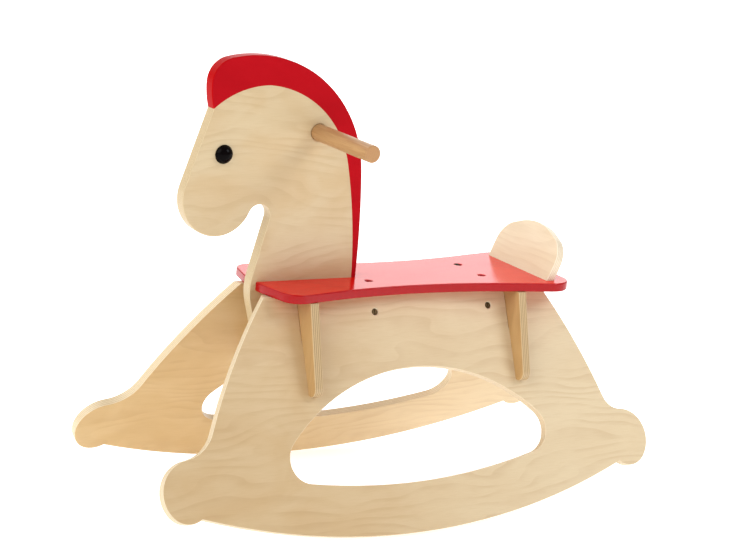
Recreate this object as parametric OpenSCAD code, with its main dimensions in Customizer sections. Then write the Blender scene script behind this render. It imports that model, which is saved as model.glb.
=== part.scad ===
// Toddler's rocking horse in flat birch plywood: two splayed rocker panels, two cross
// braces lapped into them, a waisted seat with a low backrest, and an upright head panel.
// Millimetres. +Z is up, the head looks along -X, and the horse is symmetric about y = 0.
// The origin is on the floor, midway along the length.

/* [Overall] */
// Height of the top of the seat above the floor
seat_top = 306; // [290:1:320]
// Lean of each rocker panel away from upright, in degrees
splay = 25; // [22:0.5:28]
// Distance from the middle of the length to each foot lobe's centre
lobe_x = 332; // [326:1:340]

/* [Boards] */
// Thickness of the rocker panels, braces, seat and backrest
board_t = 12; // [10:0.5:13]
// Thickness of the head panel and the mane
head_t = 18; // [15:0.5:20]
// Clearance on each side of a lapped slot
slot_gap = 0.1; // [0.05:0.05:0.2]

/* [Rocker panels] */
// Radius of the rocking edge, in the panel's own plane
rocker_r = 965; // [900:5:1000]
// Position along X of the lowest point of the rocking edge
rocker_x = -24; // [-30:1:0]
// Width of the strip between the rocking edge and the opening
strip_w = 66; // [58:1:72]
// Distance from the centre plane to each panel's inner face, at the seat's top
inset = 23; // [20:0.5:26]
// Radius of each foot lobe, over its top and outer side
lobe_r = 42; // [38:0.5:44]
// Radius round each lobe's lower corner
lobe_low_r = 30; // [26:0.5:34]
// Angle below the horizontal at which a lobe's one radius gives way to the other
lobe_turn = 40; // [30:1:50]
// How far the front lobe's full circle stands out past the rocking edge
front_lobe_out = 13; // [11:0.5:16]
// How far the rear lobe's full circle stands out past the rocking edge
rear_lobe_out = 17.5; // [15:0.5:20]
// Radius of the bow along the front and rear edges
edge_r = 800; // [700:10:1000]
// Radius of the hollow where the front edge runs into its lobe
front_hollow_r = 50; // [20:1:60]
// Radius of the hollow where the rear edge runs into its lobe
rear_hollow_r = 30; // [20:1:50]
// Radius of the arch over the opening
arch_r = 267; // [260:1:275]
// Position along X of the top of the arch
arch_x = 11; // [5:1:15]
// Distance down the slope from the seat's top to the top of the arch
arch_top = 121; // [117:1:130]
// Radius of the opening's two corners
opening_corner = 32; // [20:1:34]

/* [Braces] */
// Position along X of the front brace's middle plane
front_brace_x = -150; // [-154:1:-148]
// Position along X of the rear brace's middle plane
rear_brace_x = 172; // [165:1:178]
// Half width of a brace along its top edge
brace_top_w = 80; // [76:1:82]
// Half width of a brace along its bottom edge, before the corner is rounded
brace_low_w = 115.5; // [112:0.5:118]
// Height of a brace's bottom edge above the floor
brace_low_z = 176; // [170:1:182]
// Radius of a brace's lower corners
brace_corner = 12; // [8:1:13]
// Distance down the slope from the seat's top to the middle of each lap
lap_depth = 78; // [70:1:84]

/* [Seat] */
// Position along X of the middle of the front edge, before it is rounded
seat_front_x = -203; // [-206:1:-200]
// Position along X of the rear edge
seat_rear_x = 254.5; // [250:0.5:258]
// Radius of the hollow along each side
waist_r = 729; // [650:1:760]
// Position along X of the rear end of the slot that takes the head's tang
slot_end_x = -130; // [-132:0.5:-126]

/* [Backrest] */
// Position along X of the backrest's front face, at the seat's top
backrest_x = 216; // [212:1:220]
// Lean of the backrest away from upright, in degrees
backrest_tilt = 22; // [15:1:25]
// Half width of the backrest
backrest_w = 72; // [65:1:75]
// Height of the backrest, measured up its slope
backrest_h = 70; // [62:1:75]
// Radius of the backrest's two upper corners
backrest_corner = 36; // [30:1:38]
// Radius of the backrest's crown
backrest_crown = 100; // [80:5:120]

/* [Head] */
// Position along X of the centre of the round muzzle
muzzle_x = -261.8; // [-263:0.1:-260]
// Height of the centre of the muzzle
muzzle_z = 417; // [415:0.5:419]
// Radius of the muzzle
muzzle_r = 49.5; // [48:0.5:50]
// Radius of the hollow at the throat
throat_r = 15.5; // [14:0.5:17]
// Height of the front point where the head and the mane meet
tip_z = 529.5; // [528.5:0.5:529.5]
// Radius of the brow, the front part of the line between the head and the mane
brow_r = 117.8; // [117:0.1:119]
// Radius of the poll, the part of that line behind the brow
poll_r = 135; // [134:0.5:136]
// Radius of the nape, down to the seat
nape_r = 720; // [650:10:850]
// Radius of the mane's outer arch
mane_r = 164.5; // [163:0.5:165]
// Radius of the mane's rounded front corner
forelock_r = 33; // [26:1:35]
// Radius of the mane's front edge
mane_front_r = 110; // [100:1:120]
// Radius of the mane's rear edge, down to the seat
mane_back_r = 1250; // [1150:50:1400]

/* [Handle and eyes] */
// Position along X of the handle's centre line
handle_x = -125.5; // [-135:0.5:-120]
// Height of the handle's centre line
handle_z = 500; // [490:0.5:505]
// Diameter of the handle
handle_d = 22; // [20:0.5:24]
// Length of the handle from end to end
handle_l = 290; // [260:1:300]
// Position along X of the centre of each eye
eye_x = -259; // [-265:0.5:-250]
// Height of the centre of each eye
eye_z = 473; // [465:0.5:480]
// Diameter of an eye
eye_d = 24.5; // [20:0.5:26]
// How far an eye stands out from the face
eye_h = 9; // [6:0.5:10]

/* [Fasteners] */
// Position along X of the front pair of bolts that hold the seat to the rocker panels
front_bolt_x = -42; // [-60:1:-20]
// Position along X of the rear pair of bolts
rear_bolt_x = 137; // [120:1:145]
// Diameter of the seat bolts
bolt_d = 5; // [5:0.5:6]
// Diameter of a seat bolt's head
bolt_head_d = 9.6; // [9:0.1:10]
// How far a seat bolt's head lies below the seat's top, along the bolt
bolt_sink = 5; // [3.5:0.5:5.5]
// Distance down the slope from the seat's top to a barrel nut's axis
nut_depth = 45; // [40:1:50]
// Diameter of a barrel nut
nut_d = 8; // [8:0.5:10]
// How far a barrel nut's slotted end lies below the panel's outer face
nut_recess = 1.2; // [0.5:0.1:1.5]
// Width of the screwdriver slot in a barrel nut's end
nut_slot_w = 1.2; // [0.8:0.1:1.6]
// Diameter of the wood screws in the backrest and the head
screw_d = 4; // [3.5:0.5:4.5]
// Half distance between the two backrest screws
backrest_screw_y = 42; // [30:1:50]
// Position along X of the front screw up into the head
front_screw_x = -108; // [-112:1:-100]
// Position along X of the rear screw up into the head
rear_screw_x = -78; // [-85:1:-70]

/* [Hidden] */
$fn = 180;
eps = 0.01;
hair = 0.002;
seat_under = seat_top - board_t;
low_v = seat_top / cos(splay);
rocker_c = [rocker_x, low_v - rocker_r];
front_lobe_c = lobe_centre(-lobe_x, front_lobe_out);
rear_lobe_c = lobe_centre(lobe_x, rear_lobe_out);
front_edge_c = arc_centre([-200, 13.2], [-301, 193], edge_r, -1);
rear_edge_c = arc_centre([221, 13.2], [311, 188], edge_r, 1);
front_hollow_c = meet(front_lobe_c, lobe_r + front_hollow_r,
                      front_edge_c, edge_r + front_hollow_r, -1);
rear_hollow_c = meet(rear_lobe_c, lobe_r + rear_hollow_r,
                     rear_edge_c, edge_r + rear_hollow_r, 1);
arch_c = [arch_x, arch_top + arch_r];
strip_r = rocker_r - strip_w;
muzzle_c = [muzzle_x, muzzle_z];
handle_c = [handle_x, handle_z];
eye_c = [eye_x, eye_z];
bolt_x = [front_bolt_x, rear_bolt_x];
head_screw_x = [front_screw_x, rear_screw_x];
throat_c = muzzle_c + (muzzle_r + throat_r) * [cos(22.5), -sin(22.5)];
chest = [-209.5, 295];
brow_c = [-199.2, 442.3];
poll_c = [-209.1, 425.4];
nape_dir = [cos(14), sin(14)];
nape_c = poll_c + (poll_r - nape_r) * nape_dir;
mane_c = [-220, 433.2];
mane_front_x = -282.5;
mane_front_c = [mane_front_x + mane_front_r, 562];
mane_back_dir = [cos(5.7), sin(5.7)];
mane_back_c = mane_c + (mane_r - mane_back_r) * mane_back_dir;
forelock_x = mane_front_x + forelock_r;
forelock_c = [forelock_x,
              mane_c[1] + sqrt(pow(mane_r - forelock_r, 2) - pow(forelock_x - mane_c[0], 2))];
tip = [mane_front_c[0] - sqrt(pow(mane_front_r, 2) - pow(tip_z - mane_front_c[1], 2)) - 0.25,
       tip_z];
bolt_reach = nut_depth + 7;
nut_end = 0.5;
nut_hole_d = nut_d + 1.2;
bolt_head_h = 4;

birch = [0.87, 0.74, 0.55];
red = [0.80, 0.10, 0.09];
black = [0.06, 0.05, 0.05];
steel = [0.55, 0.53, 0.50];

function unit(v) = v / norm(v);
function toward(from, to, d) = from + d * unit(to - from);

// Where two circles cross; side picks which of the two crossings.
function meet(c1, r1, c2, r2, side) =
    let (d = norm(c2 - c1), u = unit(c2 - c1), a = (r1 * r1 - r2 * r2 + d * d) / (2 * d))
    c1 + a * u + side * sqrt(r1 * r1 - a * a) * [-u[1], u[0]];

// Centre of an arc of radius r from p to q; side picks which way it bows.
function arc_centre(p, q, r, side) = meet(p, r, q, r, side);

// Centre of a foot lobe at the given X, its full circle standing out past the rocking edge.
function lobe_centre(x, out) =
    [x, rocker_c[1] + sqrt(pow(rocker_r + out - lobe_r, 2) - pow(x - rocker_x, 2))];

// Where a line from point p touches the circle; side picks which of the two.
function touch(p, c, r, side) =
    let (d = norm(c - p), a = side * asin(r / d), u = unit(c - p))
    p + sqrt(d * d - r * r) * [u[0] * cos(a) - u[1] * sin(a), u[0] * sin(a) + u[1] * cos(a)];

function corner_u(p, i) = unit(xy(p[(i + len(p) - 1) % len(p)]) - xy(p[i]));
function corner_w(p, i) = unit(xy(p[(i + 1) % len(p)]) - xy(p[i]));
function corner_half(p, i) = acos(corner_u(p, i) * corner_w(p, i)) / 2;
function xy(p) = [p[0], p[1]];
function corner_in(p, i) = xy(p[i]) + corner_u(p, i) * p[i][2] / tan(corner_half(p, i));
function corner_out(p, i) = xy(p[i]) + corner_w(p, i) * p[i][2] / tan(corner_half(p, i));
function corner_c(p, i) =
    xy(p[i]) + unit(corner_u(p, i) + corner_w(p, i)) * p[i][2] / sin(corner_half(p, i));
function turn(p, i) = cross(corner_w(p, i), corner_u(p, i));
function area2(p) = [for (i = [0:len(p) - 1]) cross(xy(p[i]), xy(p[(i + 1) % len(p)]))]
    * [for (i = [0:len(p) - 1]) 1];

function anticlockwise(p) = area2(p) > 0 ? p : [for (i = [len(p) - 1:-1:0]) p[i]];

// A disc grown by a hair, so that its edge crosses the lines and arcs it is tangent to.
module disc(c, r) {
    translate(c)
        circle(r = r + hair, $fn = r > 300 ? 720 : $fn);
}

// The wedge between the rays from c through a and b, reaching past the corner.
module wedge(c, a, b, corner) {
    polygon(anticlockwise([c, c + 1.6 * (a - c), corner + 0.8 * (corner - c), c + 1.6 * (b - c)]));
}

// Takes off the sharp corner of its children down to the disc that touches at a and b.
module blunt(c, r, a, b, corner) {
    difference() {
        children();
        difference() {
            wedge(c, a, b, corner);
            disc(c, r + hair);
        }
    }
}

// Outline through the points [x, y, radius], each corner rounded by its radius.
module rounded(p) {
    way = sign(area2(p));
    n = len(p) - 1;
    difference() {
        polygon([for (i = [0:n])
            each p[i][2] > 0 && way * turn(p, i) < 0 ? [corner_in(p, i), corner_out(p, i)]
                : [xy(p[i])]]);
        for (i = [0:n])
            if (p[i][2] > 0 && way * turn(p, i) > 0)
                difference() {
                    wedge(corner_c(p, i), corner_in(p, i), corner_out(p, i), xy(p[i]));
                    disc(corner_c(p, i), p[i][2]);
                }
        for (i = [0:n])
            if (p[i][2] > 0 && way * turn(p, i) < 0)
                intersection() {
                    disc(corner_c(p, i), p[i][2]);
                    wedge(corner_c(p, i), corner_in(p, i) + 4 * corner_u(p, i),
                          corner_out(p, i) + 4 * corner_w(p, i), xy(p[i]));
                }
    }
}

// A foot lobe in the panel's plane, at the front (side = -1) or the rear (side = 1). A large
// arc over its top and outer side runs smoothly into a smaller one round its lower corner.
module lobe(c, side) {
    out = [side * cos(lobe_turn), sin(lobe_turn)];
    up = [side * sin(lobe_turn), -cos(lobe_turn)];
    disc(c + (lobe_r - lobe_low_r) * out, lobe_low_r);
    intersection() {
        translate(c)
            circle(r = lobe_r);
        polygon(anticlockwise([c - 2 * lobe_r * out, c + 2 * lobe_r * out,
                               c + 2 * lobe_r * (out + up), c + 2 * lobe_r * (up - out)]));
    }
}

// Half-moon opening of a rocker panel, in the panel's plane.
module opening() {
    inner_arch = arch_r - opening_corner;
    inner_strip = strip_r - opening_corner;
    front_c = meet(arch_c, inner_arch, rocker_c, inner_strip, -1);
    rear_c = meet(arch_c, inner_arch, rocker_c, inner_strip, 1);
    front_p = meet(arch_c, arch_r, rocker_c, strip_r, -1);
    rear_p = meet(arch_c, arch_r, rocker_c, strip_r, 1);
    blunt(rear_c, opening_corner, toward(arch_c, rear_c, arch_r),
          toward(rocker_c, rear_c, strip_r), rear_p)
        blunt(front_c, opening_corner, toward(arch_c, front_c, arch_r),
              toward(rocker_c, front_c, strip_r), front_p)
            intersection() {
                translate(arch_c)
                    circle(r = arch_r);
                translate(rocker_c)
                    circle(r = strip_r, $fn = 720);
            }
}

// A rocker panel's outline: X along the horse, Y down the slope from the seat's top.
module rocker_outline() {
    difference() {
        union() {
            intersection() {
                translate(rocker_c)
                    circle(r = rocker_r, $fn = 720);
                translate(front_edge_c)
                    circle(r = edge_r, $fn = 720);
                translate(rear_edge_c)
                    circle(r = edge_r, $fn = 720);
                translate([-400, 0])
                    square([800, 400]);
            }
            lobe(front_lobe_c, -1);
            lobe(rear_lobe_c, 1);
            polygon(anticlockwise([front_lobe_c, front_hollow_c,
                                   toward(front_edge_c, front_hollow_c, edge_r - 30)]));
            polygon(anticlockwise([rear_lobe_c, rear_hollow_c,
                                   toward(rear_edge_c, rear_hollow_c, edge_r - 30)]));
        }
        disc(front_hollow_c, front_hollow_r);
        disc(rear_hollow_c, rear_hollow_r);
        opening();
        for (x = [front_brace_x, rear_brace_x])
            translate([x - board_t / 2 - slot_gap, -10])
                square([board_t + 2 * slot_gap, lap_depth + 10]);
    }
}

// Puts a part drawn in the right-hand panel's plane in its place: X stays, Y runs down
// the slope and Z points outwards from the panel's inner face.
module on_slope() {
    translate([0, inset, seat_top])
        rotate([splay - 90, 0, 0])
            children();
}

// One barrel nut on the panel's slope, with its cross hole, and a slot in its outer end
// that shows which way the hole runs.
module barrel_nut(x) {
    nut_top = board_t - nut_recess;
    on_slope()
        difference() {
            translate([x, nut_depth, nut_end])
                cylinder(d = nut_d, h = nut_top - nut_end);
            translate([x, nut_depth, board_t / 2])
                rotate([90, 0, 0])
                    cylinder(d = bolt_d + 0.1, h = nut_d + 2, center = true);
            translate([x - nut_slot_w / 2, nut_depth - nut_d, nut_top - 1])
                cube([nut_slot_w, 2 * nut_d, 2]);
        }
}

// One seat bolt: its head is sunk in the seat, and its shank runs down the panel.
module seat_bolt(x) {
    on_slope()
        translate([x, 0, board_t / 2])
            rotate([-90, 0, 0]) {
                translate([0, 0, bolt_sink])
                    difference() {
                        cylinder(d = bolt_head_d, h = bolt_head_h);
                        translate([0, 0, -eps])
                            cylinder(d = 4.6, h = 2.5, $fn = 6);
                    }
                translate([0, 0, bolt_sink + bolt_head_h - eps])
                    cylinder(d = bolt_d, h = bolt_reach - bolt_sink - bolt_head_h);
            }
}

// The space a seat bolt needs, drawn along the same axis.
module seat_bolt_space(x) {
    on_slope()
        translate([x, 0, board_t / 2])
            rotate([-90, 0, 0]) {
                translate([0, 0, -8])
                    cylinder(d = bolt_head_d + 0.4, h = 8 + bolt_sink + bolt_head_h);
                cylinder(d = bolt_d + 0.6, h = bolt_reach + 1.5);
            }
}

module right_rocker_shape() {
    difference() {
        on_slope()
            linear_extrude(board_t)
                rocker_outline();
        translate([-400, 0, seat_under])
            cube([800, 100, 60]);
        for (x = bolt_x) {
            seat_bolt_space(x);
            on_slope()
                translate([x, nut_depth, -1])
                    cylinder(d = nut_hole_d, h = board_t + 2);
        }
    }
}

module right_rocker() {
    color(birch)
        right_rocker_shape();
}

module left_rocker() {
    color(birch)
        mirror([0, 1, 0])
            right_rocker_shape();
}

// The slot for one rocker panel, open at the brace's bottom edge.
module panel_slot() {
    on_slope()
        translate([-200, lap_depth, -slot_gap])
            cube([400, 150, board_t + 2 * slot_gap]);
}

// A cross brace, standing across the horse at the given X.
module brace(x) {
    difference() {
        translate([x - board_t / 2, 0, 0])
            rotate([90, 0, 90])
                linear_extrude(board_t)
                    rounded([[brace_top_w, seat_under, 0], [-brace_top_w, seat_under, 0],
                             [-brace_low_w, brace_low_z, brace_corner],
                             [brace_low_w, brace_low_z, brace_corner]]);
        panel_slot();
        mirror([0, 1, 0])
            panel_slot();
    }
}

brace_mid_z = (seat_under + brace_low_z) / 2;

module front_brace() {
    color(birch)
        difference() {
            brace(front_brace_x);
            translate([front_brace_x - 20, -head_t / 2 - slot_gap, brace_mid_z])
                cube([40, head_t + 2 * slot_gap, 100]);
        }
}

module rear_brace() {
    color(birch)
        brace(rear_brace_x);
}

// One wood screw along +Z, its flat head's face at z = 0 and its point at z = l.
module wood_screw(l) {
    rotate_extrude()
        polygon([[0, 0], [screw_d, 0], [screw_d / 2, screw_d / 2 + 0.4],
                 [screw_d / 2, l - 6], [0, l]]);
}

// The hole a wood screw needs.
module wood_screw_space(l) {
    rotate_extrude()
        polygon([[0, -1], [screw_d + 0.2, -1], [screw_d + 0.2, 0],
                 [screw_d / 2 + 0.05, screw_d / 2 + 0.55],
                 [screw_d / 2 + 0.05, l - 5.9], [0, l + 0.2]]);
}

// Places for the two backrest screws, heads sunk in the seat's underside.
module at_backrest_screws() {
    for (y = [-1, 1])
        translate([backrest_x + board_t / 2 / cos(backrest_tilt), y * backrest_screw_y, seat_top])
            rotate([0, backrest_tilt, 0])
                translate([0, 0, 2 - board_t / cos(backrest_tilt)])
                    children();
}

// Places for the two screws up into the head.
module at_head_screws() {
    for (x = head_screw_x)
        translate([x, 0, seat_under + 0.5])
            children();
}

module backrest_screws() {
    color(steel)
        at_backrest_screws()
            wood_screw(45);
}

module head_screws() {
    color(steel)
        at_head_screws()
            wood_screw(45);
}

module seat_bolts() {
    color(steel)
        for (x = bolt_x) {
            seat_bolt(x);
            mirror([0, 1, 0])
                seat_bolt(x);
        }
}

module barrel_nuts() {
    color(steel)
        for (x = bolt_x) {
            barrel_nut(x);
            mirror([0, 1, 0])
                barrel_nut(x);
        }
}

module seat_board() {
    color(red)
        difference() {
            translate([0, 0, seat_under])
                linear_extrude(board_t)
                    difference() {
                        rounded([[seat_front_x, 0, 170], [-184, -86, 24],
                                 [14, -46, waist_r], [seat_rear_x, -94.5, 30],
                                 [seat_rear_x, 94.5, 30], [14, 46, waist_r],
                                 [-184, 86, 24]]);
                        translate([-260, -head_t / 2 - slot_gap])
                            square([slot_end_x + 260, head_t + 2 * slot_gap]);
                    }
            for (x = bolt_x) {
                seat_bolt_space(x);
                mirror([0, 1, 0])
                    seat_bolt_space(x);
            }
            at_backrest_screws()
                wood_screw_space(45);
            at_head_screws()
                wood_screw_space(45);
        }
}

module backrest() {
    color(birch)
        difference() {
            translate([backrest_x, 0, seat_top])
                rotate([0, backrest_tilt, 0])
                    rotate([90, 0, 90])
                        linear_extrude(board_t)
                            rounded([[-backrest_w, -10, 0], [backrest_w, -10, 0],
                                     [backrest_w, backrest_h - 21, backrest_corner],
                                     [0, backrest_h + 7.5, backrest_crown],
                                     [-backrest_w, backrest_h - 21, backrest_corner]]);
            translate([150, -100, seat_top - 40])
                cube([150, 200, 40]);
            at_backrest_screws()
                wood_screw_space(45);
        }
}

// The unpainted part of the head panel, seen from the side: X, then height.
module head_outline() {
    cheek = touch(tip, muzzle_c, muzzle_r, -1);
    chest_top = touch(chest, throat_c, throat_r, -1);
    difference() {
        union() {
            intersection() {
                disc(nape_c, nape_r - 2 * hair);
                rounded([[tip[0], tip[1], 0], [cheek[0], cheek[1], 0],
                         [muzzle_c[0], muzzle_c[1], 0], [throat_c[0], throat_c[1], 0],
                         [chest_top[0], chest_top[1], 0],
                         [chest[0], chest[1], 75], [-186, 214, 30],
                         [-150, 205, 0], [slot_end_x - slot_gap, 205, 0],
                         [slot_end_x - slot_gap, seat_top, 0], [-40, seat_top, 0],
                         [poll_c[0] + 170 * nape_dir[0], poll_c[1] + 170 * nape_dir[1], 0],
                         [poll_c[0], poll_c[1], 0]]);
            }
            disc(muzzle_c, muzzle_r);
            difference() {
                intersection() {
                    disc(poll_c, poll_r);
                    polygon([poll_c, [0, poll_c[1]], [0, 640], [tip[0], 640], tip]);
                }
                difference() {
                    translate([-340, 480])
                        square([160, 160]);
                    disc(brow_c, brow_r);
                }
            }
        }
        disc(throat_c, throat_r);
    }
}

// The mane's full profile, before the head's own outline is taken out of it.
module mane_outline() {
    difference() {
        union() {
            blunt(forelock_c, forelock_r, [mane_front_x, forelock_c[1]],
                  toward(mane_c, forelock_c, mane_r), forelock_c + [-forelock_r, forelock_r])
                intersection() {
                    disc(mane_c, mane_r);
                    polygon([[mane_front_x, tip[1] - 6], mane_c, [0, mane_c[1]], [0, 640],
                             [mane_front_x, 640]]);
                }
            intersection() {
                disc(mane_back_c, mane_back_r - 2 * hair);
                polygon([[-130, seat_top], [-30, seat_top], mane_c + 190 * mane_back_dir,
                         mane_c + 100 * mane_back_dir]);
            }
        }
        difference() {
            translate([mane_front_x - 20, tip[1] - 20])
                square([60, mane_front_c[1] - tip[1] + 20]);
            disc(mane_front_c, mane_front_r);
        }
        head_outline();
    }
}

// Stands a side profile up along the horse's centre plane, as thick as the head panel.
module stand_up() {
    translate([0, head_t / 2, 0])
        rotate([90, 0, 0])
            linear_extrude(head_t)
                children();
}

module head_panel() {
    color(birch)
        difference() {
            stand_up()
                head_outline();
            translate([handle_c[0], 0, handle_c[1]])
                rotate([90, 0, 0])
                    cylinder(d = handle_d + 0.1, h = head_t + 2, center = true);
            for (s = [-1, 1])
                translate([eye_c[0], s * (head_t / 2 - 7), eye_c[1]])
                    rotate([-s * 90, 0, 0])
                        cylinder(d = 6.1, h = 20);
            translate([front_brace_x - board_t / 2 - slot_gap, -20, 100])
                cube([board_t + 2 * slot_gap, 40, brace_mid_z - 100]);
            at_head_screws()
                wood_screw_space(45);
        }
}

module mane() {
    color(red)
        stand_up()
            mane_outline();
}

// A domed eye on the right-hand face, with the stem that holds it in the head.
module eye() {
    ball_r = (pow(eye_d / 2, 2) + pow(eye_h, 2)) / (2 * eye_h);
    translate([eye_c[0], head_t / 2, eye_c[1]])
        rotate([-90, 0, 0])
            union() {
                difference() {
                    translate([0, 0, eye_h - ball_r])
                        sphere(r = ball_r);
                    translate([-50, -50, -100])
                        cube(100);
                }
                translate([0, 0, -6.5])
                    cylinder(d = 6, h = 7.5);
            }
}

module right_eye() {
    color(black)
        eye();
}

module left_eye() {
    color(black)
        mirror([0, 1, 0])
            eye();
}

// A round bar through the head, its two ends slightly chamfered.
module handle_bar() {
    color(birch)
        translate([handle_c[0], handle_l / 2, handle_c[1]])
            rotate([90, 0, 0])
                rotate_extrude()
                    polygon([[0, 0], [handle_d / 2 - 1.5, 0], [handle_d / 2, 1.5],
                             [handle_d / 2, handle_l - 1.5],
                             [handle_d / 2 - 1.5, handle_l], [0, handle_l]]);
}

head_panel();
mane();
left_eye();
right_eye();
handle_bar();
seat_board();
backrest();
left_rocker();
right_rocker();
front_brace();
rear_brace();
seat_bolts();
barrel_nuts();
backrest_screws();
head_screws();
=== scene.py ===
"""The looks of the toddler's rocking horse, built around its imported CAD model. Metres, +Z up."""

import math

import bmesh
import bpy
from mathutils import Matrix, Vector
from mathutils.bvhtree import BVHTree


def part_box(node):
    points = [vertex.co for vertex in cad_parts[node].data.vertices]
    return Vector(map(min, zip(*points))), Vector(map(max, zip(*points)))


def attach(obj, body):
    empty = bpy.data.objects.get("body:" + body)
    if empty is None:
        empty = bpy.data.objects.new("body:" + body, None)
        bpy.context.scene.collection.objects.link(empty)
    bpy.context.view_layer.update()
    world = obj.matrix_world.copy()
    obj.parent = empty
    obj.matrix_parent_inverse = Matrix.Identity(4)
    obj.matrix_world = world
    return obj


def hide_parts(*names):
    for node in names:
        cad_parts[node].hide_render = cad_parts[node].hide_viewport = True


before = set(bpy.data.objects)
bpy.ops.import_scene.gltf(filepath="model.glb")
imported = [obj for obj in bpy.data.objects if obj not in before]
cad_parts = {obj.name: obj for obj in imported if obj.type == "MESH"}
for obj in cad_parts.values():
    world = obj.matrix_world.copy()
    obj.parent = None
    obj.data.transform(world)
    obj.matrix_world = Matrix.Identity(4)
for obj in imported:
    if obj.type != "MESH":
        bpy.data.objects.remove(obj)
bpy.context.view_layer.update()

MM = 0.001
BOARD_T = 12 * MM
HEAD_T = 18 * MM
PANEL_INSET = 23 * MM
SPLAY = math.radians(25)
BACKREST_TILT = math.radians(22)
BACKREST_X = 216 * MM
SEAT_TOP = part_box("seat_board")[1].z


# ---------------------------------------------------------------- boards with eased edges

JOINING_DISTANCE = 2e-6
FLAT_ANGLE = math.radians(0.05)
SHARP_ANGLE = math.radians(35)
TOUCHING_GAP = 0.35 * MM


def joined_mesh(node):
    """A CAD node's mesh with its split points joined and its flat faces made whole."""
    bm = bmesh.new()
    bm.from_mesh(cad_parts[node].data)
    bmesh.ops.remove_doubles(bm, verts=bm.verts, dist=JOINING_DISTANCE)
    bmesh.ops.dissolve_limit(
        bm,
        angle_limit=FLAT_ANGLE,
        use_dissolve_boundaries=False,
        verts=bm.verts,
        edges=bm.edges,
        delimit={"NORMAL"},
    )
    return bm


def surface_tree(node):
    """A search tree of a CAD node's surface."""
    bm = bmesh.new()
    bm.from_mesh(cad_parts[node].data)
    tree = BVHTree.FromBMesh(bm)
    bm.free()
    return tree


def touches(edge, trees):
    """True if a neighbour's surface lies against the whole edge."""
    a, b = (v.co for v in edge.verts)
    for t in (0.1, 0.5, 0.9):
        if all(tree.find_nearest(a.lerp(b, t), TOUCHING_GAP)[0] is None for tree in trees):
            return False
    return True


def roomy(edge, radius):
    """True if both faces that meet at the edge are wide enough to be rounded over."""
    return all(face.calc_area() > 1.2 * radius * edge.calc_length() for face in edge.link_faces)


def eased_board(node, radius, neighbours, slot):
    """A board like the CAD node, its free sharp edges rounded over, in place of the node."""
    bm = joined_mesh(node)
    trees = [surface_tree(n) for n in neighbours]
    sharp = [
        e
        for e in bm.edges
        if len(e.link_faces) == 2
        and e.calc_face_angle(0) > SHARP_ANGLE
        and roomy(e, radius)
        and not touches(e, trees)
    ]
    bmesh.ops.bevel(
        bm,
        geom=sharp,
        offset=radius,
        offset_type="OFFSET",
        segments=3,
        profile=0.5,
        affect="EDGES",
        clamp_overlap=False,
        harden_normals=False,
    )
    for face in bm.faces:
        face.smooth = True
    for edge in bm.edges:
        edge.smooth = len(edge.link_faces) == 2 and edge.calc_face_angle(0) < SHARP_ANGLE
    mesh = bpy.data.meshes.new(node + "_board")
    bm.to_mesh(mesh)
    bm.free()
    board = bpy.data.objects.new(node + "_board", mesh)
    bpy.context.scene.collection.objects.link(board)
    normals = board.modifiers.new("flat_faces", "WEIGHTED_NORMAL")
    normals.mode = "FACE_AREA"
    normals.keep_sharp = True
    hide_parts(node)
    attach(board, "root")
    return board


# ---------------------------------------------------------------- shader building blocks


def rgb(r, g, b):
    """A colour given as the eye sees it, 0 to 255, as the linear colour that a shader takes."""
    return tuple(((c / 255 + 0.055) / 1.055) ** 2.4 for c in (r, g, b)) + (1.0,)


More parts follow.
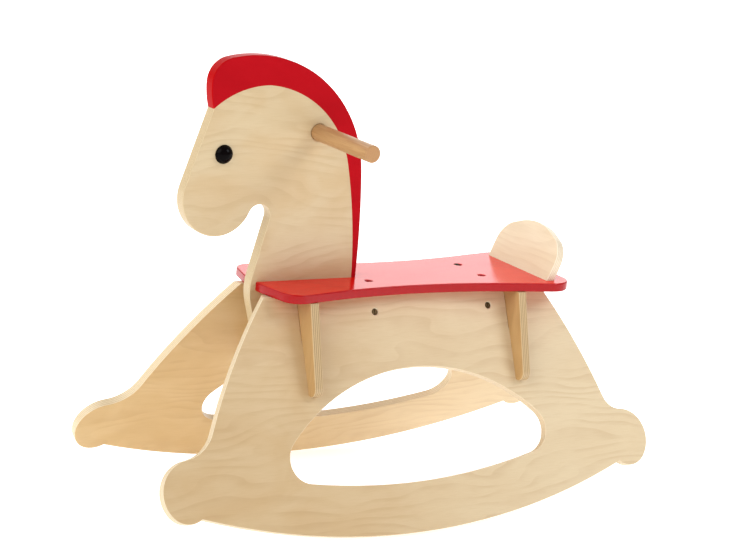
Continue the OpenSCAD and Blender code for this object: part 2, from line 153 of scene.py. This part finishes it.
class Shader:
    """A material's node tree, with short calls for the nodes that the finishes use."""

    def __init__(self, name):
        self.material = bpy.data.materials.new(name)
        self.material.use_nodes = True
        self.tree = self.material.node_tree
        self.tree.nodes.clear()
        self.output = self.tree.nodes.new("ShaderNodeOutputMaterial")
        self.bsdf = self.tree.nodes.new("ShaderNodeBsdfPrincipled")
        self.link(self.bsdf.outputs["BSDF"], self.output.inputs["Surface"])
        self.position = self.node("ShaderNodeTexCoord").outputs["Object"]

    def node(self, kind, **settings):
        made = self.tree.nodes.new(kind)
        for key, value in settings.items():
            setattr(made, key, value)
        return made

    def link(self, source, target):
        self.tree.links.new(source, target)

    def feed(self, socket, value):
        """Gives an input a constant, or links another node's output to it."""
        if isinstance(value, bpy.types.NodeSocket):
            self.link(value, socket)
        else:
            socket.default_value = value

    def math(self, operation, a, b=0.0):
        made = self.node("ShaderNodeMath", operation=operation)
        self.feed(made.inputs[0], a)
        self.feed(made.inputs[1], b)
        return made.outputs[0]

    def times(self, a, b):
        return self.math("MULTIPLY", a, b)

    def dot(self, a, b):
        made = self.node("ShaderNodeVectorMath", operation="DOT_PRODUCT")
        self.feed(made.inputs[0], a)
        self.feed(made.inputs[1], b)
        return made.outputs["Value"]

    def vector(self, x, y, z):
        made = self.node("ShaderNodeCombineXYZ")
        for socket, value in zip(made.inputs, (x, y, z)):
            self.feed(socket, value)
        return made.outputs[0]

    def from_point(self, origin):
        """The shaded point's place, seen from the given one."""
        made = self.node("ShaderNodeVectorMath", operation="SUBTRACT")
        self.link(self.position, made.inputs[0])
        made.inputs[1].default_value = origin
        return made.outputs[0]

    def scaled_position(self, per_metre):
        """The shaded point's place in units of which so many make a metre."""
        made = self.node("ShaderNodeVectorMath", operation="SCALE")
        self.link(self.position, made.inputs[0])
        made.inputs["Scale"].default_value = per_metre
        return made.outputs[0]

    def noise(self, where, detail=2.0, roughness=0.5, distortion=0.0):
        """Noise of unit size in the coordinates it is given, from about 0 to 1."""
        made = self.node("ShaderNodeTexNoise", noise_dimensions="3D")
        self.link(where, made.inputs["Vector"])
        made.inputs["Scale"].default_value = 1.0
        made.inputs["Detail"].default_value = detail
        made.inputs["Roughness"].default_value = roughness
        made.inputs["Distortion"].default_value = distortion
        return made.outputs[0]

    def grain(self, lie, per_metre, sheet, detail=2.0, roughness=0.5, distortion=0.0):
        """Noise that is drawn out along a board's grain. lie is the place along and across the
        grain, per_metre is how many features a metre takes each way, and sheet picks the pattern."""
        along, across = (self.times(place, count) for place, count in zip(lie, per_metre))
        return self.noise(self.vector(along, across, sheet), detail, roughness, distortion)

    def ramp(self, value, low, high, to_low=0.0, to_high=1.0):
        """A smooth step: value from low to high becomes to_low to to_high."""
        made = self.node("ShaderNodeMapRange", interpolation_type="SMOOTHSTEP")
        self.feed(made.inputs["Value"], value)
        made.inputs["From Min"].default_value = low
        made.inputs["From Max"].default_value = high
        made.inputs["To Min"].default_value = to_low
        made.inputs["To Max"].default_value = to_high
        return made.outputs["Result"]

    def mix(self, share, a, b):
        """Colour a with the given share of colour b in it."""
        made = self.node("ShaderNodeMix", data_type="RGBA")
        colours = [s for s in made.inputs if s.type == "RGBA"]
        self.feed(made.inputs["Factor"], share)
        self.feed(colours[0], a)
        self.feed(colours[1], b)
        return next(s for s in made.outputs if s.type == "RGBA")

    def facing(self, direction):
        """How squarely the surface faces the given direction or its opposite, from 0 to 1."""
        normal = self.node("ShaderNodeNewGeometry").outputs["Normal"]
        return self.math("ABSOLUTE", self.dot(normal, direction))

    def bump(self, height, strength, distance):
        made = self.node("ShaderNodeBump")
        made.inputs["Strength"].default_value = strength
        made.inputs["Distance"].default_value = distance
        self.link(height, made.inputs["Height"])
        self.link(made.outputs["Normal"], self.bsdf.inputs["Normal"])

    def finish(self, colour, roughness, specular=0.5, metallic=0.0):
        self.feed(self.bsdf.inputs["Base Color"], colour)
        self.feed(self.bsdf.inputs["Roughness"], roughness)
        self.bsdf.inputs["Specular IOR Level"].default_value = specular
        self.bsdf.inputs["Metallic"].default_value = metallic
        return self.material


# ---------------------------------------------------------------- plywood


class Board:
    """How a board lies: a point on its first face, its grain, the way across, and its normal."""

    def __init__(self, origin, grain, across, thickness, plies):
        self.origin = Vector(origin)
        self.grain = Vector(grain).normalized()
        self.across = Vector(across).normalized()
        self.normal = self.grain.cross(self.across)
        self.plies_per_metre = plies / thickness


class Tone:
    """A board's colours: its veneer's pale and deep wood and growth lines, its pale and dark plies,
    and how far its wood fades to the pale ply toward the far end of the grain, painted light that
    makes the board look brighter toward its rear."""

    def __init__(self, pale, deep, line, pale_ply, dark_ply, fade=0.0):
        self.pale, self.deep, self.line = rgb(*pale), rgb(*deep), rgb(*line)
        self.pale_ply, self.dark_ply = rgb(*pale_ply), rgb(*dark_ply)
        self.fade = fade


GLUE = rgb(132, 98, 62)
PAINTED_LIGHT_FADE_HALF_LENGTH = 0.25


def board_coordinates(sh, board, shift):
    """Metres along the grain, across it and through the board, shifted so that no two look alike."""
    local = sh.from_point(board.origin)
    along = sh.math("ADD", sh.dot(local, board.grain), shift)
    across = sh.math("ADD", sh.dot(local, board.across), shift * 0.7)
    return along, across, sh.dot(local, board.normal)


def growth_lines(sh, lie, sheet):
    """The share of late wood in a rotary-cut veneer: thin wavering lines, each with one soft and
    one hard side, that come and go along the board."""
    field = sh.grain(lie, (3.6, 12.0), sheet, detail=2.5, roughness=0.45, distortion=0.2)
    years = sh.math("ADD", sh.times(field, 10.0), sh.times(lie[1], 58.0))
    year = sh.math("FRACT", years)
    rise = sh.ramp(year, 0.35, 0.90)
    fall = sh.ramp(year, 0.93, 1.0, 1.0, 0.0)
    strength = sh.grain(lie, (14.0, 22.0), sheet + 9.0)
    return sh.times(sh.times(rise, fall), sh.ramp(strength, 0.35, 0.62, 0.15, 1.0))


def veneer_figure(sh, lie, sheet):
    """Three shares of a rotary-cut birch veneer: growth lines, fine fibres and soft patches."""
    fibres = sh.grain(lie, (45.0, 1500.0), sheet, detail=3.0, roughness=0.6)
    patches = sh.grain(
        lie, (9.0, 16.0), sheet + 5.0, detail=3.0, roughness=0.55, distortion=0.6
    )
    return growth_lines(sh, lie, sheet), fibres, patches


def ply_place(sh, board, through):
    """How many plies deep the shaded point lies."""
    return sh.times(through, board.plies_per_metre)


def ply_edge(sh, board, lie, through, tone):
    """The colour of a plywood edge, alternate plies with thin dark glue lines, and its specks."""
    waver = sh.grain(lie, (30.0, 30.0), 0.0, detail=1.0)
    drift = sh.times(sh.math("SUBTRACT", waver, 0.5), 0.25)
    ply = sh.math("ADD", ply_place(sh, board, through), drift)
    inside = sh.math("FRACT", ply)
    odd = sh.times(sh.math("FRACT", sh.times(sh.math("FLOOR", ply), 0.5)), 2.0)
    glue = sh.math("MAXIMUM", sh.ramp(inside, 0.0, 0.10, 1.0, 0.0), sh.ramp(inside, 0.90, 1.0))
    specks = sh.grain(lie, (700.0, 700.0), sh.times(through, 2600.0), detail=3.0, roughness=0.6)
    plies = sh.mix(odd, tone.pale_ply, tone.dark_ply)
    speckled = sh.mix(sh.ramp(specks, 0.35, 0.75, 0.0, 0.25), plies, tone.line)
    return sh.mix(sh.times(glue, 0.40), speckled, GLUE), specks


def edge_share(sh, board):
    """1 on a board's edges and 0 on its two faces."""
    return sh.ramp(sh.facing(board.normal), 0.80, 0.95, 1.0, 0.0)


def birch(name, board, shift, tone):
    """Clear-lacquered birch plywood."""
    sh = Shader(name)
    along, across, through = board_coordinates(sh, board, shift)
    lie = (along, across)
    lines, fibres, patches = veneer_figure(sh, lie, shift * 3.0)
    # Painted light: the face fades to the pale ply toward the board's rear, as if lit more there.
    fade = sh.ramp(along, shift - PAINTED_LIGHT_FADE_HALF_LENGTH, shift + PAINTED_LIGHT_FADE_HALF_LENGTH, 0.0, tone.fade)
    face = sh.mix(sh.ramp(patches, 0.30, 0.70), tone.pale, tone.deep)
    face = sh.mix(fade, face, tone.pale_ply)
    face = sh.mix(sh.times(lines, 0.20), face, tone.line)
    face = sh.mix(sh.ramp(fibres, 0.40, 0.75, 0.0, 0.14), face, tone.line)
    edge, specks = ply_edge(sh, board, lie, through, tone)
    on_edge = edge_share(sh, board)
    height = sh.math("ADD", sh.times(fibres, 0.6), sh.times(specks, on_edge))
    sh.bump(height, 0.25, 0.15 * MM)
    return sh.finish(sh.mix(on_edge, face, edge), sh.ramp(fibres, 0.3, 0.8, 0.36, 0.50))


def red_stain(name, board, shift, _):
    """Translucent red lacquer over birch plywood, glossy on top, darker along the edges."""
    sh = Shader(name)
    along, across, through = board_coordinates(sh, board, shift)
    lines, fibres, patches = veneer_figure(sh, (along, across), shift)
    face = sh.mix(sh.ramp(patches, 0.3, 0.7), rgb(220, 25, 12), rgb(209, 18, 10))
    face = sh.mix(sh.times(lines, 0.25), face, rgb(186, 14, 14))
    face = sh.mix(sh.ramp(fibres, 0.4, 0.75, 0.0, 0.22), face, rgb(178, 12, 14))
    seam = sh.ramp(sh.math("FRACT", ply_place(sh, board, through)), 0.75, 1.0)
    edge = sh.mix(sh.times(seam, 0.35), rgb(164, 4, 10), rgb(126, 3, 8))
    edge = sh.mix(sh.ramp(fibres, 0.4, 0.8, 0.0, 0.2), edge, rgb(194, 20, 20))
    sh.bump(fibres, 0.15, 0.1 * MM)
    colour = sh.mix(edge_share(sh, board), face, edge)
    return sh.finish(colour, sh.ramp(patches, 0.3, 0.8, 0.16, 0.22), specular=0.22)


def red_lacquer(name, board, shift, _):
    """Opaque red lacquer on the mane, with the plywood's layers just telegraphing on its edge."""
    sh = Shader(name)
    along, across, through = board_coordinates(sh, board, shift)
    _, fibres, patches = veneer_figure(sh, (along, across), shift)
    face = sh.mix(sh.ramp(patches, 0.3, 0.7), rgb(177, 13, 24), rgb(169, 11, 22))
    face = sh.mix(sh.ramp(fibres, 0.45, 0.8, 0.0, 0.18), face, rgb(156, 6, 18))
    seam = sh.ramp(sh.math("FRACT", ply_place(sh, board, through)), 0.7, 1.0, 0.0, 0.3)
    edge = sh.mix(seam, rgb(174, 5, 8), rgb(140, 3, 7))
    sh.bump(fibres, 0.12, 0.1 * MM)
    colour = sh.mix(edge_share(sh, board), face, edge)
    return sh.finish(colour, sh.ramp(patches, 0.3, 0.8, 0.30, 0.38), specular=0.03)


# ---------------------------------------------------------------- bar, eyes and fasteners


def dowel(name):
    """A turned hardwood bar: long streaks on its side and rings on its ends."""
    sh = Shader(name)
    low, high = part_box("handle_bar")
    axes = sh.node("ShaderNodeSeparateXYZ")
    sh.link(sh.from_point((low + high) / 2), axes.inputs[0])
    x, y, z = axes.outputs
    streaks = sh.noise(
        sh.vector(sh.times(x, 260.0), sh.times(y, 14.0), sh.times(z, 260.0)), 3.0, 0.6, 0.3
    )
    fine = sh.noise(
        sh.vector(sh.times(x, 1500.0), sh.times(y, 60.0), sh.times(z, 1500.0)), 2.0, 0.6
    )
    rings = sh.math("FRACT", sh.times(sh.math("ADD", x, sh.times(z, 0.4)), 420.0))
    side = sh.mix(sh.ramp(streaks, 0.3, 0.7), rgb(184, 144, 97), rgb(165, 122, 77))
    side = sh.mix(sh.ramp(fine, 0.45, 0.8, 0.0, 0.3), side, rgb(148, 104, 62))
    end = sh.mix(sh.times(rings, 0.4), rgb(182, 134, 83), rgb(158, 112, 69))
    end = sh.mix(sh.ramp(fine, 0.45, 0.8, 0.0, 0.4), end, rgb(148, 104, 62))
    on_end = sh.ramp(sh.facing(Vector((0, 1, 0))), 0.5, 0.9)
    sh.bump(fine, 0.2, 0.1 * MM)
    return sh.finish(sh.mix(on_end, side, end), sh.ramp(fine, 0.3, 0.8, 0.36, 0.5))


def black_gloss(name):
    """The eyes' moulded black plastic, polished, with a trace of wear."""
    sh = Shader(name)
    wear = sh.noise(sh.scaled_position(400.0), 4.0, 0.6)
    colour = sh.mix(sh.ramp(wear, 0.3, 0.8), rgb(6, 2, 3), rgb(12, 6, 6))
    sh.bump(wear, 0.03, 0.05 * MM)
    return sh.finish(colour, sh.ramp(wear, 0.4, 0.8, 0.10, 0.18), specular=0.04)


def zinc(name):
    """Zinc-plated steel, brushed and slightly tarnished."""
    sh = Shader(name)
    tarnish = sh.noise(sh.scaled_position(900.0), 3.0, 0.6)
    colour = sh.mix(sh.ramp(tarnish, 0.3, 0.8), rgb(100, 80, 54), rgb(62, 48, 32))
    sh.bump(tarnish, 0.15, 0.05 * MM)
    return sh.finish(colour, sh.ramp(tarnish, 0.3, 0.8, 0.28, 0.46), metallic=1.0)


# ---------------------------------------------------------------- the pieces

PLIES = 9
HEAD_PLIES = 13
ALONG_X = (1, 0, 0)
ALONG_Y = (0, 1, 0)
UPWARDS = (0, 0, 1)
ACROSS_BRACE = (0, -1, 0)
DOWN_RIGHT = (0, math.sin(SPLAY), -math.cos(SPLAY))
UP_LEFT = (0, math.sin(SPLAY), math.cos(SPLAY))
UP_BACKREST = (math.sin(BACKREST_TILT), 0, math.cos(BACKREST_TILT))

HEAD = Board((0, HEAD_T / 2, 0), ALONG_X, UPWARDS, HEAD_T, HEAD_PLIES)
SEAT = Board((0, 0, SEAT_TOP - BOARD_T), ALONG_X, ALONG_Y, BOARD_T, PLIES)
RIGHT = Board((0, PANEL_INSET, SEAT_TOP), ALONG_X, DOWN_RIGHT, BOARD_T, PLIES)
LEFT = Board((0, -PANEL_INSET, SEAT_TOP), ALONG_X, UP_LEFT, BOARD_T, PLIES)
FRONT = Board(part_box("front_brace")[0], UPWARDS, ACROSS_BRACE, BOARD_T, PLIES)
REAR = Board(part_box("rear_brace")[0], UPWARDS, ACROSS_BRACE, BOARD_T, PLIES)
BACK = Board((BACKREST_X, 0, SEAT_TOP), ALONG_Y, UP_BACKREST, BOARD_T, PLIES)

# Birch tones, one per board, each the veneer's own tone and partly painted light: the backrest's
# tone is paler as painted light from above, the braces' tone darker as painted shade under the
# seat's overhang, and the far rocker's tone warmer, with paler plies, as painted bounce light. The
# last number is a painted fade, brighter toward the rear.
FAIR = Tone((204, 178, 136), (197, 167, 122), (166, 124, 78), (224, 208, 175), (202, 178, 138), 0.55)
CREAM = Tone((205, 184, 145), (198, 171, 128), (165, 127, 83), (206, 186, 147), (188, 164, 122))
LIT_PALE = Tone((228, 214, 184), (223, 205, 171), (194, 164, 122), (236, 222, 198), (222, 204, 172))
BOUNCE_WARM = Tone((209, 179, 127), (201, 168, 113), (174, 132, 80), (230, 213, 180), (212, 190, 150), 0.65)
SHADED_AMBER = Tone((192, 156, 104), (182, 144, 92), (146, 108, 64), (204, 178, 134), (166, 136, 94))

ROCKER_CONTACTS = ("barrel_nuts", "seat_board")
BRACE_CONTACTS = ("left_rocker", "right_rocker", "head_panel", "seat_board")

# Each board's node, the radius of its eased edges in millimetres, the nodes it touches, its
# material slot, its finish, how it lies, the shift of its grain and its tone.
BOARDS = (
    ("head_panel", 1.4, ("mane", "seat_board"), "birch_ply", birch, HEAD, 0.31, CREAM),
    ("mane", 1.4, ("head_panel", "seat_board"), "red_lacquer", red_lacquer, HEAD, 0.71, None),
    ("seat_board", 1.8, ("head_panel", "backrest"), "red_stain", red_stain, SEAT, 1.13, None),
    ("backrest", 1.4, ("seat_board",), "birch_ply", birch, BACK, 1.57, LIT_PALE),
    ("left_rocker", 1.2, ROCKER_CONTACTS, "birch_ply", birch, LEFT, 2.03, FAIR),
    ("right_rocker", 1.2, ROCKER_CONTACTS, "birch_ply", birch, RIGHT, 2.59, BOUNCE_WARM),
    ("front_brace", 1.2, BRACE_CONTACTS, "birch_ply", birch, FRONT, 3.11, SHADED_AMBER),
    ("rear_brace", 1.2, BRACE_CONTACTS, "birch_ply", birch, REAR, 3.67, SHADED_AMBER),
)

for node, ease, neighbours, slot, finish, board, shift, tone in BOARDS:
    piece = eased_board(node, ease * MM, neighbours, slot)
    piece.data.materials.append(finish(node + "_finish", board, shift, tone))


def refinish(node, material):
    """Gives a CAD node a finish."""
    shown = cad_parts[node]
    if not shown.material_slots:
        shown.data.materials.append(material)
    for material_slot in shown.material_slots:
        material_slot.link = "OBJECT"
        material_slot.material = material


refinish("handle_bar", dowel("handle_bar_finish"))
eye_finish = black_gloss("eye_finish")
for eye in ("left_eye", "right_eye"):
    refinish(eye, eye_finish)
steel_finish = zinc("fastener_finish")
for fastener in ("seat_bolts", "barrel_nuts", "backrest_screws", "head_screws"):
    refinish(fastener, steel_finish)


# ---------------------------------------------------------------- floor, light and camera

WHITE = (1, 1, 1, 1)
COOL_WHITE = (0.97, 1.0, 1.08)
FLOOR_HALF_SIZE = 40.0
FLOOR_GLOW = 0.57
ROOM_LIGHT = 0.47


def pale_floor():
    """A white floor, lit a little from beneath as a photographer's light table is."""
    size = FLOOR_HALF_SIZE
    mesh = bpy.data.meshes.new("floor")
    corners = [(-size, -size, 0), (size, -size, 0), (size, size, 0), (-size, size, 0)]
    mesh.from_pydata(corners, [], [(0, 1, 2, 3)])
    floor = bpy.data.objects.new("floor", mesh)
    bpy.context.scene.collection.objects.link(floor)
    sh = Shader("floor_finish")
    tone = sh.noise(sh.position)
    colour = sh.mix(sh.ramp(tone, 0.3, 0.7), rgb(250, 250, 250), rgb(248, 248, 248))
    sh.bsdf.inputs["Emission Color"].default_value = WHITE
    sh.bsdf.inputs["Emission Strength"].default_value = FLOOR_GLOW
    floor.data.materials.append(sh.finish(colour, 0.9))


def softbox(name, place, target, width, height, power, colour=(1, 1, 1)):
    """A rectangular area light that faces its target and that the camera doesn't see."""
    data = bpy.data.lights.new(name, "AREA")
    data.shape = "RECTANGLE"
    data.size, data.size_y = width, height
    data.energy = power
    data.color = colour
    lamp = bpy.data.objects.new(name, data)
    lamp.location = place
    lamp.rotation_mode = "QUATERNION"
    lamp.rotation_quaternion = (Vector(target) - Vector(place)).to_track_quat("-Z", "Y")
    lamp.visible_camera = False
    bpy.context.scene.collection.objects.link(lamp)


def far_lamp(name, toward, strength, spread):
    """A broad far-off lamp in the given direction, spread over that many degrees of the sky."""
    data = bpy.data.lights.new(name, "SUN")
    data.energy = strength
    data.angle = math.radians(spread)
    lamp = bpy.data.objects.new(name, data)
    lamp.rotation_mode = "QUATERNION"
    lamp.rotation_quaternion = Vector(toward).to_track_quat("Z", "Y")
    bpy.context.scene.collection.objects.link(lamp)


def room():
    """Surroundings that are white to the camera and cast a softer light on the horse."""
    world = bpy.data.worlds.new("studio")
    world.use_nodes = True
    tree = world.node_tree
    shown = tree.nodes["Background"]
    shown.inputs["Color"].default_value = WHITE
    shown.inputs["Strength"].default_value = 1.0
    lit = tree.nodes.new("ShaderNodeBackground")
    lit.inputs["Color"].default_value = WHITE
    lit.inputs["Strength"].default_value = ROOM_LIGHT
    path = tree.nodes.new("ShaderNodeLightPath")
    either = tree.nodes.new("ShaderNodeMixShader")
    tree.links.new(path.outputs["Is Camera Ray"], either.inputs[0])
    tree.links.new(lit.outputs[0], either.inputs[1])
    tree.links.new(shown.outputs[0], either.inputs[2])
    tree.links.new(either.outputs[0], tree.nodes["World Output"].inputs["Surface"])
    bpy.context.scene.world = world


def lamps():
    """Broad lamps ahead of the horse and on its far side, a panel high behind the near side, and
    a big backdrop on the far side that shows in the lacquer of the seat."""
    far_lamp("front_lamp", (-0.80, -0.12, 0.58), 1.6, 50)
    far_lamp("back_lamp", (-0.35, 0.80, 0.90), 1.0, 60)
    softbox("side_panel", (1.05, -1.20, 1.70), (0.2, -0.1, 0.2), 0.9, 0.8, 15, COOL_WHITE)
    softbox("backdrop", (1.8, 3.0, 1.1), (0, 0, 0.3), 4.0, 2.0, 42)


def camera():
    """The photograph's view: its place, and its axes in the horse's frame."""
    data = bpy.data.cameras.new("camera")
    data.lens = 99.9
    data.sensor_width = 36
    data.shift_x = -0.0293
    data.shift_y = 0.0816
    data.clip_end = 200
    eye = bpy.data.objects.new("camera", data)
    place = Vector((-1.4281, -2.2529, 0.9568))
    back = Vector((-0.5216, -0.8104, 0.2667)).normalized()
    up = Vector((0.0566, 0.2791, 0.9586))
    right = up.cross(back).normalized()
    up = back.cross(right)
    turn = Matrix((right, up, back)).transposed()
    eye.matrix_world = Matrix.Translation(place) @ turn.to_4x4()
    bpy.context.scene.collection.objects.link(eye)
    bpy.context.scene.camera = eye


pale_floor()
room()
lamps()
camera()
bpy.context.scene.view_settings.view_transform = "Standard"
